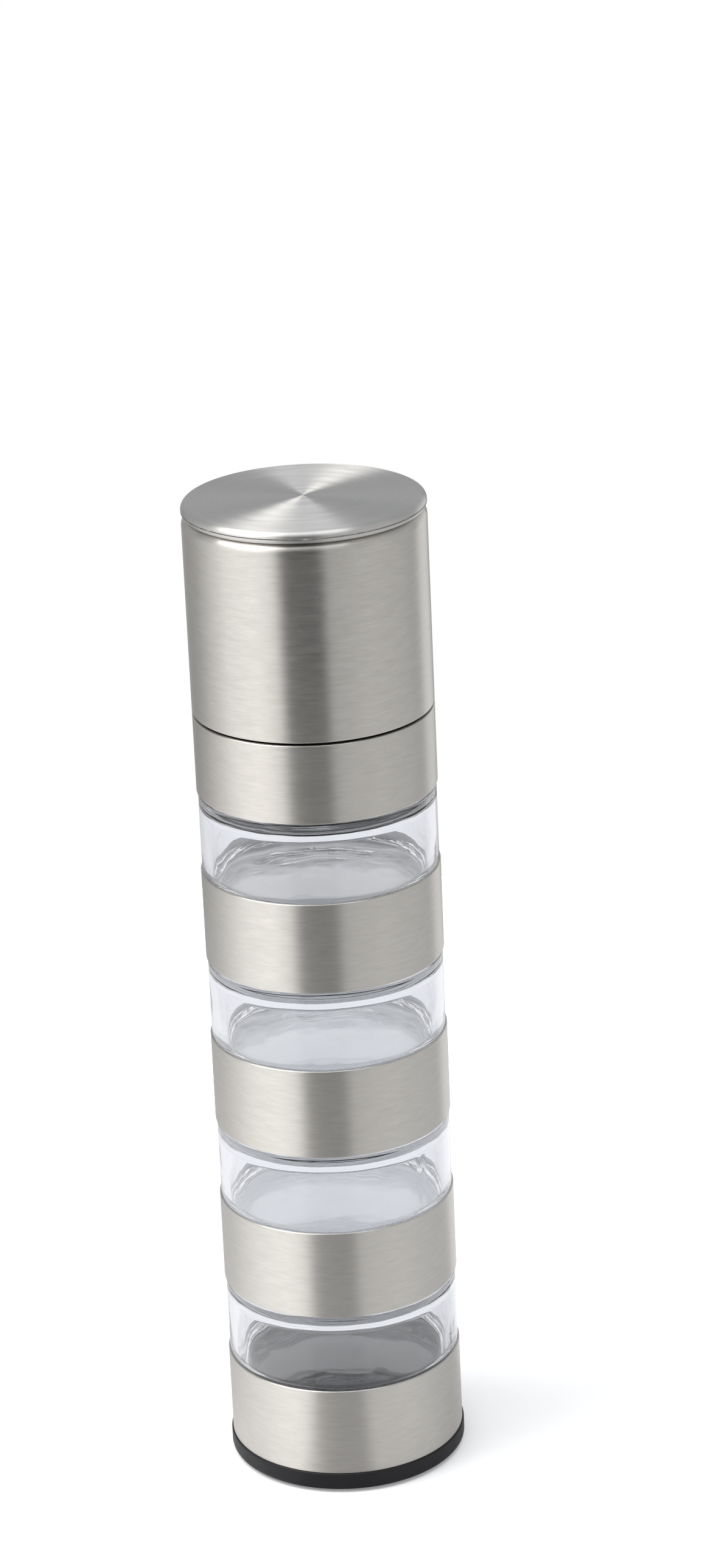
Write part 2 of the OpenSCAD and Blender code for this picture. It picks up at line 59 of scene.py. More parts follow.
# Black base
# One satin black moulding under the lowest jar: a rim with a rounded lower edge, a floor, and a hollow plug
# that screws into the jar's socket. Rubber feet are pressed into pockets in its underside.
MM = 0.001


def rounded(corners, edge=0.2 * MM, steps=4):
    """Rounds the corners of a closed outline. A corner is (radius, height) or (radius, height, own rounding).
    A point of support beside each rounding keeps the flats flat where the mesh is shaded smooth."""
    outline = []
    for before, corner, after in zip(corners[-1:] + corners[:-1], corners, corners[1:] + corners[:1]):
        here = Vector(corner[:2])
        bend = corner[2] if len(corner) > 2 else edge
        if corner[0] == 0 or bend == 0:
            outline.append(here)
            continue
        back = (Vector(before[:2]) - here).normalized()
        ahead = (Vector(after[:2]) - here).normalized()
        half = back.angle(ahead) / 2
        reach = bend / math.tan(half)
        centre = here + (back + ahead).normalized() * bend / math.sin(half)
        spoke = here + back * reach - centre
        sweep = math.copysign(math.pi - 2 * half, ahead.cross(back))
        support = min(0.4 * bend, 0.3 * MM)
        outline.append(here + back * (reach + support))
        for step in range(steps + 1):
            outline.append(centre + Matrix.Rotation(sweep * step / steps, 2) @ spoke)
        outline.append(here + ahead * (reach + support))
    return outline


def turned(name, outline, sides=192):
    """A mesh turned about Z from an outline of (radius, height) points. Points on the axis become poles."""
    bm = bmesh.new()
    spokes = [(math.cos(2 * math.pi * i / sides), math.sin(2 * math.pi * i / sides)) for i in range(sides)]
    rings = [
        [bm.verts.new((r * x, r * y, z)) for x, y in (spokes if r > 0 else spokes[:1])]
        for r, z in outline
    ]
    pairs = list(zip(rings, rings[1:]))
    if len(rings[0]) == len(rings[-1]) == sides:
        pairs.append((rings[-1], rings[0]))
    for low, high in pairs:
        for i in range(sides):
            j = (i + 1) % sides
            corners = (low[i % len(low)], low[j % len(low)], high[j % len(high)], high[i % len(high)])
            bm.faces.new(dict.fromkeys(corners))
    if bm.calc_volume(signed=True) < 0:
        bmesh.ops.reverse_faces(bm, faces=bm.faces)
    mesh = bpy.data.meshes.new(name)
    bm.to_mesh(mesh)
    bm.free()
    mesh.shade_smooth()
    piece = bpy.data.objects.new(name, mesh)
    bpy.context.scene.collection.objects.link(piece)
    return piece


def add(tree, kind, inputs=None, **settings):
    """A node in a tree, with its sockets set to values or linked to other nodes' outputs."""
    node = tree.nodes.new(kind)
    for name, value in settings.items():
        setattr(node, name, value)
    for socket, value in (inputs or {}).items():
        if isinstance(value, bpy.types.NodeSocket):
            tree.links.new(value, node.inputs[socket])
        else:
            node.inputs[socket].default_value = value
    return node


def calc(tree, operation, first, second=0.0, third=0.0):
    """A math node's result."""
    return add(tree, "ShaderNodeMath", {0: first, 1: second, 2: third}, operation=operation).outputs[0]


def vector_calc(tree, operation, first, second=(0, 0, 0), scale=1.0):
    """A vector math node's result, which is a number for a length and a vector otherwise. Its fourth socket
    holds the scale, and has a name only while the operation uses it."""
    node = add(tree, "ShaderNodeVectorMath", {0: first, 1: second, 3: scale}, operation=operation)
    return node.outputs["Value" if operation == "LENGTH" else "Vector"]


def along_z(tree, length):
    """A vector along Z."""
    return add(tree, "ShaderNodeCombineXYZ", {"Z": length}).outputs["Vector"]


def ramped(tree, value, source, target=(0.0, 1.0), rise="LINEAR"):
    """A value brought from one range to another and kept inside it."""
    return add(tree, "ShaderNodeMapRange", {
        "Value": value, "From Min": source[0], "From Max": source[1],
        "To Min": target[0], "To Max": target[1],
    }, interpolation_type=rise).outputs["Result"]


def overlaid(tree, share, below, above, blend="MIX"):
    """One colour laid over another by a share."""
    mix = add(tree, "ShaderNodeMix", {"Factor": share}, data_type="RGBA", blend_type=blend)
    for socket, colour in (("A", below), ("B", above)):
        if isinstance(colour, bpy.types.NodeSocket):
            tree.links.new(colour, mix.inputs[socket])
        else:
            mix.inputs[socket].default_value = (*colour, 1)
    return mix.outputs["Result"]


def shader_group(name, inputs, outputs):
    """An empty shader node group with float inputs and outputs, and the sockets at its two ends."""
    tree = bpy.data.node_groups.new(name, "ShaderNodeTree")
    for socket, value in inputs.items():
        made = tree.interface.new_socket(socket, in_out="INPUT", socket_type="NodeSocketFloat")
        made.default_value = value
    for socket in outputs:
        tree.interface.new_socket(socket, in_out="OUTPUT", socket_type="NodeSocketFloat")
    return tree, tree.nodes.new("NodeGroupInput").outputs, tree.nodes.new("NodeGroupOutput").inputs


def surface(name, values):
    """A material whose Principled shader has the given plain socket values, its tree and that shader."""
    material = bpy.data.materials.new(name)
    material.use_nodes = True
    shader = material.node_tree.nodes["Principled BSDF"]
    for socket, value in values.items():
        shader.inputs[socket].default_value = value
    return material, material.node_tree, shader


def finish_surface(tree, shader, colour, roughness, height, bump, strength):
    """Links a shader's colour and roughness, and a bump of the given depth."""
    bumps = add(tree, "ShaderNodeBump", {"Strength": strength, "Distance": bump, "Height": height})
    tree.links.new(colour, shader.inputs["Base Color"])
    tree.links.new(roughness, shader.inputs["Roughness"])
    tree.links.new(bumps.outputs["Normal"], shader.inputs["Normal"])


# Skin of a moulding: a fine grain for bump and slow patches of tone
skin_tree, skin_in, skin_out = shader_group(
    "moulded skin", {"Grain": 9000.0, "Patches": 160.0}, ["Tone", "Height"])
skin_place = add(skin_tree, "ShaderNodeTexCoord").outputs["Object"]
skin_grain = add(skin_tree, "ShaderNodeTexNoise", {
    "Vector": skin_place, "Scale": skin_in["Grain"], "Detail": 3.0, "Roughness": 0.6,
})
skin_patches = add(skin_tree, "ShaderNodeTexNoise", {
    "Vector": skin_place, "Scale": skin_in["Patches"], "Detail": 4.0, "Roughness": 0.65,
})
skin_tree.links.new(skin_patches.outputs["Fac"], skin_out["Tone"])
skin_tree.links.new(skin_grain.outputs["Fac"], skin_out["Height"])


def moulding(name, dark, light, gloss, bump=0.02 * MM, grain=9000.0, specular=0.5):
    """A moulded material: tone and gloss wander between two levels, over a fine grain."""
    material, tree, shader = surface(name, {"Specular IOR Level": specular})
    skin = add(tree, "ShaderNodeGroup", {"Grain": grain}, node_tree=skin_tree).outputs
    tone = overlaid(tree, skin["Tone"], dark, light)
    roughness = ramped(tree, skin["Tone"], (0.3, 0.7), gloss)
    finish_surface(tree, shader, tone, roughness, skin["Height"], bump, strength=0.6)
    return material


black_plastic = moulding(
    "satin black moulding", (0.0085, 0.008, 0.01), (0.016, 0.015, 0.018), (0.42, 0.56), specular=0.24)
foot_rubber = moulding(
    "foot rubber", (0.012, 0.012, 0.012), (0.03, 0.03, 0.03), (0.7, 0.85), bump=0.05 * MM)

base_low, base_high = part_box("base_cap")
band_low, band_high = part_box("jar_4_band")
base_r = base_high.x
neck_r = 25.2 * MM
neck_h = base_high.z - band_low.z
base_plug_wall = 2.4 * MM
base_floor_t = 2.4 * MM
base_inside_r = neck_r - base_plug_wall
base_floor_z = base_low.z + base_floor_t
base = turned("base_moulding", rounded([
    (0, base_low.z), (base_r, base_low.z, 1.2 * MM), (base_r, band_low.z, 0.35 * MM),
    (neck_r, band_low.z, 0.3 * MM), (neck_r, base_high.z, 0.6 * MM), (base_inside_r, base_high.z, 0.5 * MM),
    (base_inside_r, base_floor_z, 0.8 * MM), (0, base_floor_z),
], steps=6))
base.data.materials.append(black_plastic)
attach(base, "base")
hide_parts("base_cap")


def geometry_tree(name, floats, **others):
    """An empty geometry node tree with a geometry, a material, the named floats and sockets of other kinds as
    its inputs, and its two end nodes."""
    tree = bpy.data.node_groups.new(name, "GeometryNodeTree")
    tree.interface.new_socket("Geometry", in_out="OUTPUT", socket_type="NodeSocketGeometry")
    kinds = {"Geometry": "Geometry", "Material": "Material", **dict.fromkeys(floats, "Float"), **others}
    for socket, kind in kinds.items():
        tree.interface.new_socket(socket, in_out="INPUT", socket_type="NodeSocket" + kind)
    return tree, tree.nodes.new("NodeGroupInput"), tree.nodes.new("NodeGroupOutput")


def finish_tree(tree, ends, geometry):
    """Ends a tree in real geometry with the material that its Material input names."""
    real = add(tree, "GeometryNodeRealizeInstances", {"Geometry": geometry})
    painted = add(tree, "GeometryNodeSetMaterial", {
        "Geometry": real.outputs["Geometry"], "Material": ends[0].outputs["Material"],
    })
    tree.links.new(painted.outputs["Geometry"], ends[1].inputs["Geometry"])


def sweep_tree(tree, ends, path, section, scale=1.0):
    """Ends a tree in a section swept along a path, lifted to the height that its Foot input names."""
    sweep = add(tree, "GeometryNodeCurveToMesh", {
        "Curve": path, "Profile Curve": section, "Scale": scale, "Fill Caps": True,
    })
    placed = add(tree, "GeometryNodeTransform", {
        "Geometry": sweep.outputs["Mesh"], "Translation": along_z(tree, ends[0].outputs["Foot"]),
    })
    finish_tree(tree, ends, placed.outputs["Geometry"])


def grown(name, tree, values, start=None):
    """Runs a geometry node tree with the given input values and returns the result as a plain mesh object."""
    seed = start or bpy.data.objects.new(name + "_start", bpy.data.meshes.new(name))
    if start is None:
        bpy.context.scene.collection.objects.link(seed)
    modifier = seed.modifiers.new("grow", "NODES")
    modifier.node_group = tree
    for item in tree.interface.items_tree:
        if item.in_out == "INPUT" and item.name in values:
            modifier[item.identifier] = values[item.name]
    shape = seed.evaluated_get(bpy.context.evaluated_depsgraph_get())
    mesh = bpy.data.meshes.new_from_object(shape)
    mesh.name = name
    bpy.data.objects.remove(seed)
    piece = bpy.data.objects.new(name, mesh)
    bpy.context.scene.collection.objects.link(piece)
    return piece


# Feet: one rubber puck repeated round the base
feet_tree, *feet_ends = geometry_tree(
    "pucks on a circle", ["Ring Radius", "First Direction"], Count="Int", Puck="Object")
feet_in = feet_ends[0].outputs
feet_ring = add(feet_tree, "GeometryNodeMeshCircle", {
    "Vertices": feet_in["Count"], "Radius": feet_in["Ring Radius"],
})
feet_puck = add(feet_tree, "GeometryNodeObjectInfo", {"Object": feet_in["Puck"]})
feet_set = add(feet_tree, "GeometryNodeInstanceOnPoints", {
    "Points": feet_ring.outputs["Mesh"], "Instance": feet_puck.outputs["Geometry"],
})
feet_turned = add(feet_tree, "GeometryNodeTransform", {
    "Geometry": feet_set.outputs["Instances"], "Rotation": along_z(feet_tree, feet_in["First Direction"]),
})
finish_tree(feet_tree, feet_ends, feet_turned.outputs["Geometry"])

foot_count = 3
foot_d = 6 * MM
foot_h = 1.4 * MM
foot_inset = 5 * MM
foot_turn = math.radians(-52)
puck = turned("foot_puck", rounded([
    (0, 0), (foot_d / 2, 0, 0.25 * MM), (foot_d / 2, foot_h, 0.1 * MM), (0, foot_h),
]), sides=48)
puck.data.materials.append(foot_rubber)
feet = grown("rubber_feet", feet_tree, {
    "Count": foot_count, "Ring Radius": base_r - foot_inset, "First Direction": foot_turn, "Puck": puck,
    "Material": foot_rubber,
})
bpy.data.objects.remove(puck)
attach(feet, "base")
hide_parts("base_feet")

# Screw thread: one rounded ridge that winds up a wall and runs out at both ends
ridge_tree, *ridge_ends = geometry_tree(
    "screw ridge", ["Wall Radius", "Foot", "Turns", "Pitch", "Ridge Height", "Ridge Width"])
ridge_in = ridge_ends[0].outputs
ridge_rise = calc(ridge_tree, "MULTIPLY", ridge_in["Turns"], ridge_in["Pitch"])
ridge_path = add(ridge_tree, "GeometryNodeCurveSpiral", {
    "Resolution": 96, "Rotations": ridge_in["Turns"], "Start Radius": ridge_in["Wall Radius"],
    "End Radius": ridge_in["Wall Radius"], "Height": ridge_rise, "Reverse": True,
})
ridge_upright = add(
    ridge_tree, "GeometryNodeSetCurveNormal", {"Curve": ridge_path.outputs["Curve"]}, mode="Z_UP")
ridge_share = add(ridge_tree, "GeometryNodeSplineParameter").outputs["Factor"]
ridge_from_end = calc(ridge_tree, "PINGPONG", ridge_share, 0.5)
ridge_fade = ramped(ridge_tree, ridge_from_end, (0.0, 0.06), (0.02, 1.0), rise="SMOOTHSTEP")
ridge_circle = add(ridge_tree, "GeometryNodeCurvePrimitiveCircle", {"Resolution": 12, "Radius": 1.0})
ridge_section = add(ridge_tree, "ShaderNodeCombineXYZ", {
    "X": ridge_in["Ridge Height"], "Y": ridge_in["Ridge Width"],
})
ridge_oval = add(ridge_tree, "GeometryNodeTransform", {
    "Geometry": ridge_circle.outputs["Curve"], "Scale": ridge_section.outputs["Vector"],
})
sweep_tree(
    ridge_tree, ridge_ends, ridge_upright.outputs["Curve"], ridge_oval.outputs["Geometry"], scale=ridge_fade)

thread_pitch = 3.6 * MM
thread_height = 0.55 * MM
thread_width = 0.85 * MM
thread_turns = 1.3
base_thread_lift = 3.2 * MM
base_thread = grown("base_thread", ridge_tree, {
    "Wall Radius": neck_r, "Foot": band_low.z + base_thread_lift, "Turns": thread_turns,
    "Pitch": thread_pitch, "Ridge Height": thread_height, "Ridge Width": thread_width,
    "Material": black_plastic,
})
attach(base_thread, "base")


# Steel bands
# A rolled stainless band round the foot of each jar, brushed round the axis, with its cut edges broken. A
# milky film of adhesive inside holds it on the glass, and it carries the jar's socket.
grain_tree, grain_in, grain_out = shader_group(
    "turned grain", {"Around": 180.0, "Across": 3600.0}, ["Streaks", "Height"])
grain_place = add(grain_tree, "ShaderNodeTexCoord").outputs["Object"]
grain_flat = vector_calc(grain_tree, "MULTIPLY", grain_place, (1, 1, 0))
grain_z = add(grain_tree, "ShaderNodeSeparateXYZ", {0: grain_place}).outputs["Z"]
grain_across = calc(grain_tree, "ADD", grain_z, vector_calc(grain_tree, "LENGTH", grain_flat))


def grain_layer(share, detail):
    """Noise drawn out round the axis, at a share of the grain's own fineness."""
    around = vector_calc(grain_tree, "SCALE", grain_flat, scale=grain_in["Around"])
    fineness = calc(grain_tree, "MULTIPLY", grain_in["Across"], share)
    upright = along_z(grain_tree, calc(grain_tree, "MULTIPLY", grain_across, fineness))
    noise = add(grain_tree, "ShaderNodeTexNoise", {
        "Vector": vector_calc(grain_tree, "ADD", around, upright), "Scale": 1.0, "Detail": detail,
        "Roughness": 0.7,
    })
    return noise.outputs["Fac"]


grain_fine = grain_layer(1.0, 3.0)
grain_broad = grain_layer(0.22, 2.0)
grain_mix = add(grain_tree, "ShaderNodeMix", {"Factor": 0.4, "A": grain_fine, "B": grain_broad})
grain_tree.links.new(grain_mix.outputs["Result"], grain_out["Streaks"])
grain_tree.links.new(grain_fine, grain_out["Height"])


def turned_steel(name, dark, light, gloss, bump, around=180.0, across=3600.0, spread=0.94):
    """Steel brushed round its axis: streaks of tone and gloss, and a reflection drawn out across the
    brushing."""
    material, tree, shader = surface(name, {
        "Metallic": 1.0, "Anisotropic": spread, "Anisotropic Rotation": 0.25,
    })
    grain = add(tree, "ShaderNodeGroup", {"Around": around, "Across": across}, node_tree=grain_tree).outputs
    streaks = ramped(tree, grain["Streaks"], (0.3, 0.7))
    tone = overlaid(tree, streaks, dark, light)
    roughness = ramped(tree, streaks, (0.0, 1.0), gloss)
    finish_surface(tree, shader, tone, roughness, grain["Height"], bump, strength=0.5)
    lay = add(tree, "ShaderNodeTangent", direction_type="RADIAL", axis="Z")
    tree.links.new(lay.outputs["Tangent"], shader.inputs["Tangent"])
    return material


steel_tones = (0.54, 0.52, 0.49), (0.66, 0.64, 0.605)
brushed_steel = turned_steel("brushed steel", *steel_tones, (0.33, 0.41), bump=0.002 * MM)
adhesive = moulding("milky adhesive", (0.84, 0.845, 0.855), (0.92, 0.925, 0.93), (0.45, 0.6))
jars = (4, 3, 2, 1)  # from the floor up
band_t = 0.7 * MM
body_r = band_high.x
band_inner_r = body_r - band_t
for jar in jars:
    low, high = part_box(f"jar_{jar}_band")
    band = turned(f"jar_{jar}_steel_band", rounded([
        (band_inner_r, low.z), (body_r, low.z), (body_r, high.z), (band_inner_r, high.z),
    ]))
    band.data.materials.append(brushed_steel)
    band.data.materials.append(adhesive)
    for face in band.data.polygons:
        face.material_index = 1 if face.center.xy.length < band_inner_r + 0.01 * MM else 0
    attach(band, f"jar_{jar}")
    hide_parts(f"jar_{jar}_band")


# Sockets and seals
# A screw cap in each band: a skirt with an inside thread, and a closed top that the glass stands on. It is
# milky, and black in the lowest jar. A flat silicone seal lies under the top, where the rim of the next jar's
# neck meets it.
natural_plastic = moulding("milky moulding", (0.82, 0.835, 0.85), (0.9, 0.91, 0.92), (0.3, 0.42))
silicone = moulding("milky silicone", (0.66, 0.68, 0.69), (0.75, 0.765, 0.77), (0.45, 0.6))
socket_r = 26.2 * MM
socket_ridge = 0.25 * MM
socket_thread_lift = 2.4 * MM


def paint_nodes(material, *names):
    """Gives a material to CAD nodes that are shown as they are."""
    for name in names:
        nodes[name].data.materials[0] = material


def socket_thread(name, mouth_z, body, material):
    """The ridge inside a socket, from just above its mouth."""
    thread = grown(name, ridge_tree, {
        "Wall Radius": socket_r, "Foot": mouth_z + socket_thread_lift, "Turns": thread_turns,
        "Pitch": thread_pitch, "Ridge Height": socket_ridge, "Ridge Width": thread_width,
        "Material": material,
    })
    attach(thread, body)


for jar in jars:
    cap_plastic, cap_slot = natural_plastic, "natural_plastic"
    if jar == jars[0]:
        cap_plastic, cap_slot = black_plastic, "black_plastic"
    paint_nodes(cap_plastic, f"jar_{jar}_socket")
    paint_nodes(silicone, f"jar_{jar}_seal")
    mouth_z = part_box(f"jar_{jar}_socket")[0].z
    socket_thread(f"jar_{jar}_socket_thread", mouth_z, f"jar_{jar}", cap_plastic)


# Glass jars
# Pressed clear glass: a thick floor with a shallow hollow under it, a straight wall, a rounded shoulder and a
# threaded neck. The mould leaves two seams, where the threads die away, and the plunger leaves the inside a
# little wavy.
pressed_tree, *pressed_ends = geometry_tree("pressed glass", [
    "Thread Pitch", "Thread Foot", "Ridge Height", "Ridge Width", "First Turn", "Last Turn", "Bead Level",
    "Bead Height", "Seam Direction", "Seam Height", "Wave Depth", "Wave Seed",
])


def glass_calc(operation, *terms):
    """A math node's result in the tree of the pressed glass."""
    return calc(pressed_tree, operation, *terms)


def smooth_step(tree, value, low, high):
    """0 below low and 1 above high, with a soft rise between."""
    return ramped(tree, value, (low, high), rise="SMOOTHSTEP")


def hump(distance, width):
    """A rounded hump of the glass, 1 at distance 0 and 0 from width on."""
    share = glass_calc("DIVIDE", distance, width)
    cap = glass_calc("SUBTRACT", 1.0, glass_calc("MULTIPLY", share, share))
    return glass_calc("POWER", glass_calc("MAXIMUM", cap, 0.0), 1.5)


pressed_in = pressed_ends[0].outputs
glass_place = add(pressed_tree, "GeometryNodeInputPosition").outputs["Position"]
glass_parts = add(pressed_tree, "ShaderNodeSeparateXYZ", {0: glass_place}).outputs
glass_angle = glass_calc("ARCTAN2", glass_parts["Y"], glass_parts["X"])
glass_turn = glass_calc("DIVIDE", glass_angle, 2 * math.pi)
glass_inside = add(
    pressed_tree, "GeometryNodeInputNamedAttribute", {"Name": "inside"}, data_type="FLOAT",
).outputs["Attribute"]

# Thread: a ridge wherever the height fits the turn, between its first and last turn, with a bead below it
run_out_turns = 0.08
above_foot = glass_calc("SUBTRACT", glass_parts["Z"], pressed_in["Thread Foot"])
phase = glass_calc("SUBTRACT", glass_calc("DIVIDE", above_foot, pressed_in["Thread Pitch"]), glass_turn)
whole_turn = glass_calc("ROUND", phase)
off_ridge = glass_calc("MULTIPLY", glass_calc("SUBTRACT", phase, whole_turn), pressed_in["Thread Pitch"])
along = glass_calc("ADD", whole_turn, glass_turn)
full_from = glass_calc("ADD", pressed_in["First Turn"], run_out_turns)
full_until = glass_calc("SUBTRACT", pressed_in["Last Turn"], run_out_turns)
run_in = smooth_step(pressed_tree, along, pressed_in["First Turn"], full_from)
run_out = smooth_step(pressed_tree, along, full_until, pressed_in["Last Turn"])
run = glass_calc("MULTIPLY", run_in, glass_calc("SUBTRACT", 1.0, run_out))
ridge = glass_calc("MULTIPLY", hump(off_ridge, pressed_in["Ridge Width"]), run)
bead = hump(glass_calc("SUBTRACT", glass_parts["Z"], pressed_in["Bead Level"]), pressed_in["Ridge Width"])

# Seams: two opposite mould lines, where the ridges die away and a fine line of glass stands proud
seam_half_angle = 0.03
seam_clear_angle = 0.2
left_at_seam = 0.2
from_seam = glass_calc("SUBTRACT", glass_angle, pressed_in["Seam Direction"])
seam_turn = glass_calc("FLOORED_MODULO", glass_calc("ADD", from_seam, math.pi / 2), math.pi)
seam_off = glass_calc("ABSOLUTE", glass_calc("SUBTRACT", seam_turn, math.pi / 2))
clear = smooth_step(pressed_tree, seam_off, seam_half_angle, seam_clear_angle)
kept_share = glass_calc("MULTIPLY_ADD", clear, 1 - left_at_seam, left_at_seam)
seam = glass_calc("MULTIPLY", hump(seam_off, seam_half_angle), pressed_in["Seam Height"])
raised = glass_calc("MULTIPLY", ridge, pressed_in["Ridge Height"])
raised = glass_calc("MULTIPLY_ADD", bead, pressed_in["Bead Height"], raised)
raised = glass_calc("MULTIPLY_ADD", raised, kept_share, seam)
outside = glass_calc("SUBTRACT", 1.0, glass_inside)

# Waves: the inner wall and floor wander a little
wave = add(pressed_tree, "ShaderNodeTexNoise", {
    "Vector": vector_calc(pressed_tree, "MULTIPLY", glass_place, (1, 1, 0.7)), "W": pressed_in["Wave Seed"],
    "Scale": 95.0, "Detail": 1.0, "Roughness": 0.4,
}, noise_dimensions="4D").outputs["Fac"]
wave_off = glass_calc("MULTIPLY", glass_calc("SUBTRACT", wave, 0.5), pressed_in["Wave Depth"])
wave_in = glass_calc("MULTIPLY", wave_off, glass_inside)
glass_flat = vector_calc(pressed_tree, "MULTIPLY", glass_place, (1, 1, 0))
outward = vector_calc(pressed_tree, "NORMALIZE", glass_flat)
push = glass_calc("MULTIPLY_ADD", raised, outside, wave_in)
sideways = vector_calc(pressed_tree, "SCALE", outward, scale=push)
shift = vector_calc(pressed_tree, "ADD", sideways, along_z(pressed_tree, wave_in))
moved = add(pressed_tree, "GeometryNodeSetPosition", {"Geometry": pressed_in["Geometry"], "Offset": shift})
finish_tree(pressed_tree, pressed_ends, moved.outputs["Geometry"])

clear_glass, glass_tree, glass_shader = surface("clear glass", {
    "Base Color": (0.985, 0.99, 0.995, 1), "IOR": 1.5, "Transmission Weight": 1.0,
})
glass_haze = add(
    glass_tree, "ShaderNodeGroup", {"Grain": 350.0, "Patches": 60.0}, node_tree=skin_tree).outputs
glass_rough = ramped(glass_tree, glass_haze["Tone"], (0.35, 0.75), (0.0, 0.02))
glass_ripple = add(glass_tree, "ShaderNodeBump", {
    "Strength": 0.2, "Distance": 0.03 * MM, "Height": glass_haze["Height"],
})
glass_tree.links.new(glass_rough, glass_shader.inputs["Roughness"])
glass_tree.links.new(glass_ripple.outputs["Normal"], glass_shader.inputs["Normal"])

# Light runs on inside the thick walls, so its paths may be longer than Blender's own limits, and stay sharp
light_paths = bpy.context.scene.cycles
light_paths.max_bounces = 32
light_paths.glossy_bounces = 32
light_paths.transmission_bounces = 32
light_paths.blur_glossy = 0.0


def spaced(outline, gap):
    """Adds points to an outline so that no two lie further apart than gap gives for the place between."""
    dense = []
    for here, there in zip(outline, outline[1:]):
        stretch = there - here
        count = max(1, math.ceil(stretch.length / gap((here + there) / 2)))
        dense += [here + stretch * i / count for i in range(count)]
    return dense + outline[-1:]


glass_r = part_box("jar_4_glass")[1].x
glue_gap = 0.08 * MM
glass_low_r = band_inner_r - glue_gap
glass_wall = 2.7 * MM
glass_in_r = glass_r - glass_wall
neck_wall = 2.3 * MM
neck_bore_r = neck_r - neck_wall
floor_t = 6.6 * MM
push_up = 0.8 * MM
foot_ring_w = 6 * MM
foot_ring_r = glass_low_r - foot_ring_w
foot_gap = 0.03 * MM
shoulder_t = 3 * MM
dome_steps = 8
neck_point_gap = 0.25 * MM
wall_point_gap = 1.1 * MM
hollow_margin = 0.3 * MM
level_margin = 0.1 * MM
plain_rim_h = 2 * MM
for jar in jars:
    low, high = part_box(f"jar_{jar}_glass")
    foot_z = low.z + foot_gap
    band_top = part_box(f"jar_{jar}_band")[1].z
    shoulder_z = high.z - neck_h
    under_z = shoulder_z - shoulder_t
    floor_z = low.z + push_up + floor_t
    dome = [
        Vector((foot_ring_r * i / dome_steps, foot_z + push_up * (1 - (i / dome_steps) ** 2)))
        for i in range(dome_steps)
    ]
    outline = dome + rounded([
        (0, foot_z + push_up), (foot_ring_r, foot_z, 0.5 * MM), (glass_low_r, foot_z, 0.8 * MM),
        (glass_low_r, band_top, 0.1 * MM), (glass_r, band_top, 0.15 * MM), (glass_r, shoulder_z, 1.2 * MM),
        (neck_r, shoulder_z, 0.7 * MM), (neck_r, high.z, 1.1 * MM), (neck_bore_r, high.z, 1.1 * MM),
        (neck_bore_r, under_z, 1.2 * MM), (glass_in_r, under_z, 2.6 * MM), (glass_in_r, floor_z, 3 * MM),
        (0, floor_z),
    ], steps=8)[1:]
    outline = spaced(outline, lambda point: neck_point_gap if point.y > shoulder_z else wall_point_gap)
    blank = turned(f"jar_{jar}_blank", outline, sides=256)
    inside = blank.data.attributes.new("inside", "FLOAT", "POINT")
    for vertex in blank.data.vertices:
        height = vertex.co.z
        hollow_r = neck_bore_r if height > under_z - level_margin else glass_in_r
        in_hollow = vertex.co.xy.length < hollow_r + hollow_margin and height > floor_z - level_margin
        inside.data[vertex.index].value = 1.0 if in_hollow and height < high.z - plain_rim_h else 0.0
    glass = grown(f"jar_{jar}_clear_glass", pressed_tree, {
        "Thread Pitch": thread_pitch, "Thread Foot": shoulder_z + 4.3 * MM, "Ridge Height": thread_height,
        "Ridge Width": 1.05 * MM, "First Turn": -0.35, "Last Turn": 1.1, "Bead Level": shoulder_z + 2.1 * MM,
        "Bead Height": 0.4 * MM, "Seam Direction": math.radians(-112 + 23 * jar), "Seam Height": 0.06 * MM,
        "Wave Depth": 0.5 * MM, "Wave Seed": 1.7 * jar, "Material": clear_glass,
    }, start=blank)
    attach(glass, f"jar_{jar}")
    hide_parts(f"jar_{jar}_glass")


# Collar
# The fixed lower ring of the grinder head: a brushed steel shell over a black moulding with its own socket,
# funnel, spigot and spider. A slip ring fills the dark gap above it, and a split ring on the spigot keeps the
# sleeve on.
bright_steel = turned_steel(
    "bright steel", (0.54, 0.54, 0.54), (0.64, 0.64, 0.64), (0.16, 0.26), bump=0.002 * MM, spread=0.3)
collar_low, collar_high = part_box("collar_ring")
collar_t = 0.9 * MM
collar_inner_r = body_r - collar_t
seam_chamfer = 0.25 * MM
collar = turned("collar_shell", rounded([
    (collar_inner_r, collar_low.z), (body_r, collar_low.z), (body_r, collar_high.z, seam_chamfer),
    (collar_inner_r, collar_high.z, 0.1 * MM),
]))
collar.data.materials.append(brushed_steel)
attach(collar, "collar")
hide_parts("collar_ring")
paint_nodes(black_plastic, "collar_insert", "glide_ring")
paint_nodes(bright_steel, "snap_ring", "drive_shaft", "spring_washer")
paint_nodes(silicone, "head_seal")
socket_thread("collar_thread", collar_low.z, "collar", black_plastic)


# Burr spring
# A compression spring of bright round wire on the square shaft, between the washer and the inner burr. It
# presses the burr up against the knob.
coil_tree, *coil_ends = geometry_tree(
    "coil spring", ["Coil Radius", "Wire Radius", "Curls", "Foot", "Length"])
coil_in = coil_ends[0].outputs
coil_path = add(coil_tree, "GeometryNodeCurveSpiral", {
    "Resolution": 40, "Rotations": coil_in["Curls"], "Start Radius": coil_in["Coil Radius"],
    "End Radius": coil_in["Coil Radius"], "Height": coil_in["Length"],
})
coil_wire = add(coil_tree, "GeometryNodeCurvePrimitiveCircle", {
    "Resolution": 12, "Radius": coil_in["Wire Radius"],
})
sweep_tree(coil_tree, coil_ends, coil_path.outputs["Curve"], coil_wire.outputs["Curve"])

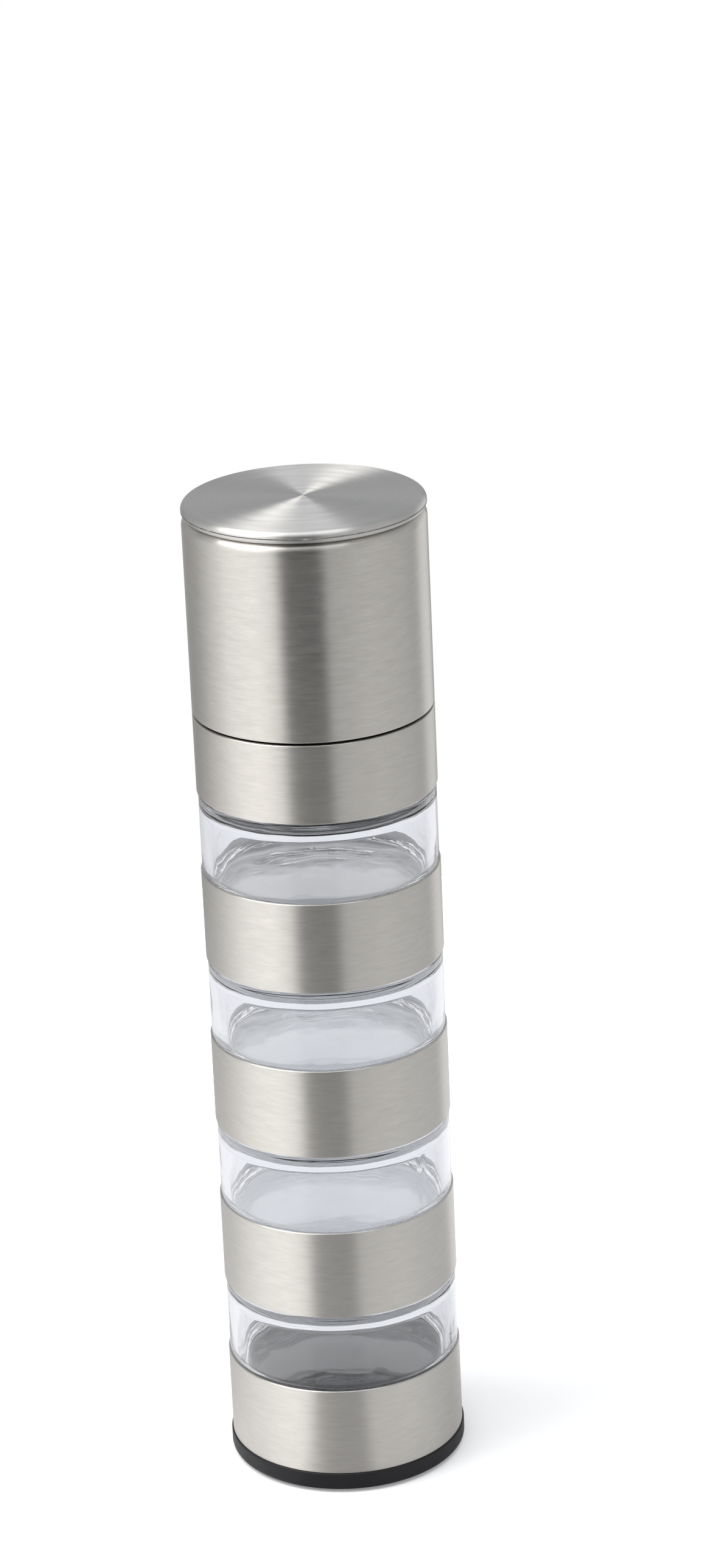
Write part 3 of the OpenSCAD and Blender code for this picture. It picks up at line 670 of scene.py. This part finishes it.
spring_low, spring_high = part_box("burr_spring")
wire_r = 0.45 * MM
spring_travel_room = 0.45 * MM
spring = grown("wire_spring", coil_tree, {
    "Coil Radius": spring_high.x - wire_r, "Wire Radius": wire_r, "Curls": 6.0, "Foot": spring_low.z + wire_r,
    "Length": spring_high.z - spring_low.z - 2 * wire_r - spring_travel_room, "Material": bright_steel,
})
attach(spring, "collar")
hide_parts("burr_spring")


# Burrs
# A cone and a ring of sintered ceramic with coarse feed ridges that turn into fine grinding teeth. The cone
# is keyed to the shaft, and the ring is pressed into the sleeve's housing.
ceramic = moulding(
    "sintered ceramic", (0.74, 0.7, 0.62), (0.84, 0.81, 0.74), (0.5, 0.65), bump=0.03 * MM, grain=5200.0)
paint_nodes(ceramic, "inner_burr", "outer_burr")


# Sleeve
# The part of the head that is turned by hand: one drawn steel shell with a thick rounded rim that runs down
# inside as the outlet's wall. The black housing in it turns on the collar's spigot, and a ring holds the
# outer burr down.
sleeve_low, sleeve_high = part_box("head_sleeve")
seat_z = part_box("outer_burr")[0].z
skin_t = 1.0 * MM
bore_r = 25.9 * MM
rim_t = 3 * MM
hollow_z = sleeve_high.z - rim_t
sleeve = turned("sleeve_shell", rounded([
    (body_r - skin_t, sleeve_low.z), (body_r, sleeve_low.z, seam_chamfer), (body_r, sleeve_high.z, 2.4 * MM),
    (bore_r, sleeve_high.z, 1.4 * MM), (bore_r, seat_z), (bore_r + skin_t, seat_z),
    (bore_r + skin_t, hollow_z), (body_r - skin_t, hollow_z),
], steps=8))
sleeve_steel = turned_steel("fine brushed steel", *steel_tones, (0.29, 0.36), bump=0.0015 * MM)
bore_steel = turned_steel(
    "bore steel", (0.5, 0.48, 0.45), (0.86, 0.84, 0.8), (0.2, 0.36), bump=0.012 * MM, around=22.0,
    across=3200.0)
sleeve.data.materials.append(sleeve_steel)
sleeve.data.materials.append(bore_steel)
for face in sleeve.data.polygons:
    face.material_index = 1 if face.center.xy.length < bore_r + skin_t / 2 else 0
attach(sleeve, "sleeve")
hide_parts("head_sleeve")
paint_nodes(black_plastic, "mill_housing", "burr_retainer")


# Adjuster knob
# A black moulded knob on the shaft's threaded end: a stem with a ring and a deep hole, and three pitched
# wings for the fingers, with soft edges.
def softened(name, node, material, edge=0.15 * MM):
    """A copy of a CAD node's mesh in a material of its own, with its sharp edges rounded."""
    mesh = nodes[node].data.copy()
    bm = bmesh.new()
    bm.from_mesh(mesh)
    bmesh.ops.remove_doubles(bm, verts=bm.verts, dist=0.002 * MM)
    bmesh.ops.dissolve_limit(bm, angle_limit=math.radians(1), verts=bm.verts, edges=bm.edges)
    bm.to_mesh(mesh)
    bm.free()
    piece = bpy.data.objects.new(name, mesh)
    bpy.context.scene.collection.objects.link(piece)
    bevel = piece.modifiers.new("soft edges", "BEVEL")
    bevel.width = edge
    bevel.segments = 3
    bevel.limit_method = "ANGLE"
    bevel.angle_limit = math.radians(32)
    shape = piece.evaluated_get(bpy.context.evaluated_depsgraph_get())
    piece.data = bpy.data.meshes.new_from_object(shape)
    piece.modifiers.clear()
    piece.data.name = name
    piece.data.shade_smooth()
    piece.data.set_sharp_from_angle(angle=math.radians(30))
    piece.data.materials.clear()
    piece.data.materials.append(material)
    return piece


knob = softened("winged_knob", "adjuster_knob", black_plastic)
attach(knob, "knob")
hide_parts("adjuster_knob")


# Lid
# A crowned steel disc with a rounded edge, face-turned so that its top shows fine circles. A black slotted
# ring under it springs into the sleeve's mouth.
lid_low, lid_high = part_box("lid_disc")
lid_edge_t = 3 * MM
lid_top_t = 1.2 * MM
lid_recess_r = 26.3 * MM
lid_edge_z = lid_low.z + lid_edge_t
lid_crown = lid_high.z - lid_low.z - lid_edge_t
ceiling_z = lid_edge_z - lid_top_t
crown_inset = 1.6 * MM
crown_r = body_r - crown_inset
crown_steps = 12
crown = [
    Vector((crown_r * (1 - i / crown_steps), lid_edge_z + lid_crown * (1 - (1 - i / crown_steps) ** 2)))
    for i in range(1, crown_steps + 1)
]
towards_crown = (crown_r - 1 * MM, lid_edge_z, 0)
lid = turned("lid_shell", rounded([
    (0, ceiling_z), (lid_recess_r, ceiling_z, 0.3 * MM), (lid_recess_r, lid_low.z, 0.2 * MM),
    (body_r, lid_low.z, 1.2 * MM), (body_r, lid_edge_z, 1.5 * MM), towards_crown,
], steps=8)[:-1] + crown)
lid_steel = turned_steel(
    "turned lid steel", (0.56, 0.55, 0.535), (0.65, 0.645, 0.63), (0.34, 0.44), bump=0.0015 * MM, around=70.0,
    across=2600.0)
lid.data.materials.append(lid_steel)
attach(lid, "lid")
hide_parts("lid_disc")

plug_plastic, plug_tree, plug_shader = surface("turned black moulding", {"Specular IOR Level": 0.35})
plug_grain = add(
    plug_tree, "ShaderNodeGroup", {"Around": 30.0, "Across": 1700.0}, node_tree=grain_tree).outputs
plug_lines = smooth_step(plug_tree, plug_grain["Streaks"], 0.35, 0.65)
plug_tone = overlaid(plug_tree, plug_lines, (0.007, 0.007, 0.008), (0.024, 0.023, 0.026))
plug_rough = ramped(plug_tree, plug_lines, (0.0, 1.0), (0.5, 0.34))
finish_surface(plug_tree, plug_shader, plug_tone, plug_rough, plug_grain["Height"], 0.02 * MM, strength=0.6)
plug = softened("slotted_plug", "lid_plug", plug_plastic)
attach(plug, "lid")
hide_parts("lid_plug")


# Studio
# A round pale floor under a white surround. The steel sees grey panels all round, with a dark gap in front
# that draws the stripe down the tower, and the glass sees cool panels with a thin grey one at each side.
def panel_ring(name, levels):
    """A shader group that gives the brightness of a ring of panels, from stops of (degrees from the front,
    level)."""
    tree = bpy.data.node_groups.new(name, "ShaderNodeTree")
    tree.interface.new_socket("Direction", in_out="INPUT", socket_type="NodeSocketVector")
    tree.interface.new_socket("Level", in_out="OUTPUT", socket_type="NodeSocketColor")
    direction = tree.nodes.new("NodeGroupInput").outputs["Direction"]
    parts = add(tree, "ShaderNodeSeparateXYZ", {0: direction}).outputs
    angle = calc(tree, "ARCTAN2", parts["X"], calc(tree, "MULTIPLY", parts["Y"], -1.0))
    place = calc(tree, "MULTIPLY_ADD", angle, 1 / (2 * math.pi), 0.5)
    ramp = add(tree, "ShaderNodeValToRGB", {"Fac": place})
    for _ in range(len(levels) - len(ramp.color_ramp.elements)):
        ramp.color_ramp.elements.new(0.5)
    for stop, (degrees, level) in zip(ramp.color_ramp.elements, levels):
        stop.position = degrees / 360 + 0.5
        stop.color = (level, level, level, 1)
    tree.links.new(ramp.outputs["Color"], tree.nodes.new("NodeGroupOutput").inputs["Level"])
    return tree


def panel_level(tree, ring, direction):
    """The brightness that a ring of panels has in a direction."""
    return add(tree, "ShaderNodeGroup", {"Direction": direction}, node_tree=ring).outputs["Level"]


steel_panels = panel_ring("panels for the steel", [
    (-180, 0.6), (-150, 0.4), (-124, 0.55), (-100, 0.9), (-84, 1.05), (-44, 1.05), (-32, 0.95), (-22, 0.02),
    (12, 0.02), (20, 0.45), (60, 0.66), (100, 0.62), (124, 0.5), (132, 0.95), (154, 0.95), (162, 0.3),
    (180, 0.6),
])
glass_panels = panel_ring("panels for the glass", [
    (-180, 1.0), (-150, 1.0), (-138, 0.88), (-110, 0.88), (-102, 0.6), (-94, 0.6), (-86, 0.95),
    (86, 0.95), (94, 0.6), (102, 0.6), (110, 0.88), (138, 0.88), (150, 1.0), (180, 1.0),
])

# Floor: wide enough for the bands to mirror it. To the steel it shows painted shade and light: a share of the
# panels' pattern, with the dark gap in front, is painted into its colour for mirrored rays alone. It shows
# the glass its own tint. Away from the tower it turns white for the camera, and fades into the surround
# behind the glass
floor_r = 0.4
floor_grey = (0.86, 0.86, 0.87)
floor_tint = (0.76, 0.765, 0.8)
mirrored_share = 0.5
floor = turned("pale_floor", [Vector((floor_r, 0)), Vector((0, 0))], sides=128)
floor_paint, floor_tree, floor_shader = surface("pale floor", {
    "Roughness": 0.9, "Emission Color": (1, 1, 1, 1),
})
floor_path = add(floor_tree, "ShaderNodeLightPath").outputs
floor_mirror = floor_path["Is Glossy Ray"]
floor_through = floor_path["Is Transmission Ray"]
floor_place = add(floor_tree, "ShaderNodeTexCoord").outputs["Object"]
floor_far = vector_calc(floor_tree, "LENGTH", floor_place)
# Painted shade and light: the panels' pattern with its dark gap, laid into the floor's colour where only the
# steel's reflections see it
floor_painted_panels = panel_level(floor_tree, steel_panels, floor_place)
floor_mirrored = calc(floor_tree, "MAXIMUM", calc(floor_tree, "SUBTRACT", floor_mirror, floor_through), 0.0)
floor_share = calc(floor_tree, "MULTIPLY", floor_mirrored, mirrored_share)
floor_colour = overlaid(floor_tree, floor_share, floor_grey, floor_painted_panels)
floor_colour = overlaid(floor_tree, floor_through, floor_colour, floor_tint, blend="MULTIPLY")
floor_white = ramped(floor_tree, floor_far, (0.1, 0.25), (0.2, 0.6), rise="SMOOTHSTEP")
floor_glow = calc(floor_tree, "MULTIPLY", floor_path["Is Camera Ray"], floor_white)
floor_gone = calc(floor_tree, "MULTIPLY", floor_through, smooth_step(floor_tree, floor_far, 0.12, 0.38))
floor_solid = calc(floor_tree, "SUBTRACT", 1.0, floor_gone)
floor_tree.links.new(floor_colour, floor_shader.inputs["Base Color"])
floor_tree.links.new(floor_glow, floor_shader.inputs["Emission Strength"])
floor_tree.links.new(floor_solid, floor_shader.inputs["Alpha"])
floor.data.materials.append(floor_paint)

# Surround: the panels for steel and glass, plain soft light for all else, and white for the camera
glass_tint = (0.84, 0.85, 0.9)
glass_sky = (1.1, 1.1, 1.12)
steel_sky = (0.5, 0.51, 0.53)
plain_light = (0.68, 0.69, 0.7)
white = (1, 1, 1)
studio = bpy.data.worlds.new("studio surround")
bpy.context.scene.world = studio
studio.use_nodes = True
studio_tree = studio.node_tree
studio_path = add(studio_tree, "ShaderNodeLightPath").outputs
look = add(studio_tree, "ShaderNodeTexCoord").outputs["Generated"]
look_parts = add(studio_tree, "ShaderNodeSeparateXYZ", {0: look}).outputs
look_high = smooth_step(studio_tree, look_parts["Z"], 0.12, 0.3)
look_back = calc(studio_tree, "MULTIPLY", look_high, smooth_step(studio_tree, look_parts["Y"], 0.0, 0.3))
steel_view = overlaid(studio_tree, look_back, panel_level(studio_tree, steel_panels, look), steel_sky)
glass_view = overlaid(
    studio_tree, 1.0, panel_level(studio_tree, glass_panels, look), glass_tint, blend="MULTIPLY")
glass_view = overlaid(studio_tree, look_high, glass_view, glass_sky)
surround = overlaid(studio_tree, studio_path["Is Glossy Ray"], plain_light, steel_view)
surround = overlaid(studio_tree, studio_path["Is Transmission Ray"], surround, glass_view)
surround = overlaid(studio_tree, studio_path["Is Camera Ray"], surround, white)
studio_back = add(studio_tree, "ShaderNodeBackground", {"Color": surround, "Strength": 1.0})
studio_tree.links.new(studio_back.outputs[0], studio_tree.nodes["World Output"].inputs["Surface"])


def soft_light(name, azimuth, elevation, distance, size, power, colour):
    """A square area light that faces the tower's middle from the given direction. The glass is lit by the
    panels alone, because a lamp seen through it only speckles what lies inside."""
    aim = (cad_low + cad_high) / 2
    turn = math.radians(azimuth)
    climb = math.radians(elevation)
    away = Vector((math.sin(turn) * math.cos(climb), -math.cos(turn) * math.cos(climb), math.sin(climb)))
    lamp = bpy.data.lights.new(name, "AREA")
    lamp.size = size
    lamp.energy = power
    lamp.color = colour
    light = bpy.data.objects.new(name, lamp)
    light.location = aim + away * distance
    light.rotation_euler = away.to_track_quat("Z", "Y").to_euler()
    light.visible_transmission = False
    bpy.context.scene.collection.objects.link(light)


soft_light(
    "key_light", azimuth=-75, elevation=55, distance=1.1, size=0.75, power=9.0, colour=(1.0, 0.98, 0.95))
soft_light(
    "top_light", azimuth=20, elevation=80, distance=1.2, size=0.8, power=5.0, colour=(0.96, 0.98, 1.0))


# Camera
# The photo's own view: the lowest jar stands at the photo's scale, tilt and lean, on the same upright line,
# and a little lower in the frame, so that the lid stays in it when the whole tower is lifted apart.
photo_w, photo_h = 1170, 2576
photo_focal_px = 7300
anchor_px = (565, 2190)
anchor = Vector((0, 0, 30 * MM))
anchor_distance = 1.165
camera_tilt = math.radians(20.2)
camera_roll = math.radians(2.6)
camera_data = bpy.data.cameras.new("photo_camera")
camera_data.lens = photo_focal_px / photo_h * camera_data.sensor_width
camera_data.clip_start = 0.05
camera_data.clip_end = 20
camera = bpy.data.objects.new("photo_camera", camera_data)
facing = Matrix.Rotation(math.pi / 2 - camera_tilt, 3, "X") @ Matrix.Rotation(-camera_roll, 3, "Z")
sight = Vector((anchor_px[0] - photo_w / 2, photo_h / 2 - anchor_px[1], -photo_focal_px)).normalized()
camera.matrix_world = Matrix.Translation(anchor - facing @ sight * anchor_distance) @ facing.to_4x4()
bpy.context.scene.collection.objects.link(camera)
bpy.context.scene.camera = camera
bpy.context.scene.view_settings.view_transform = "Standard"
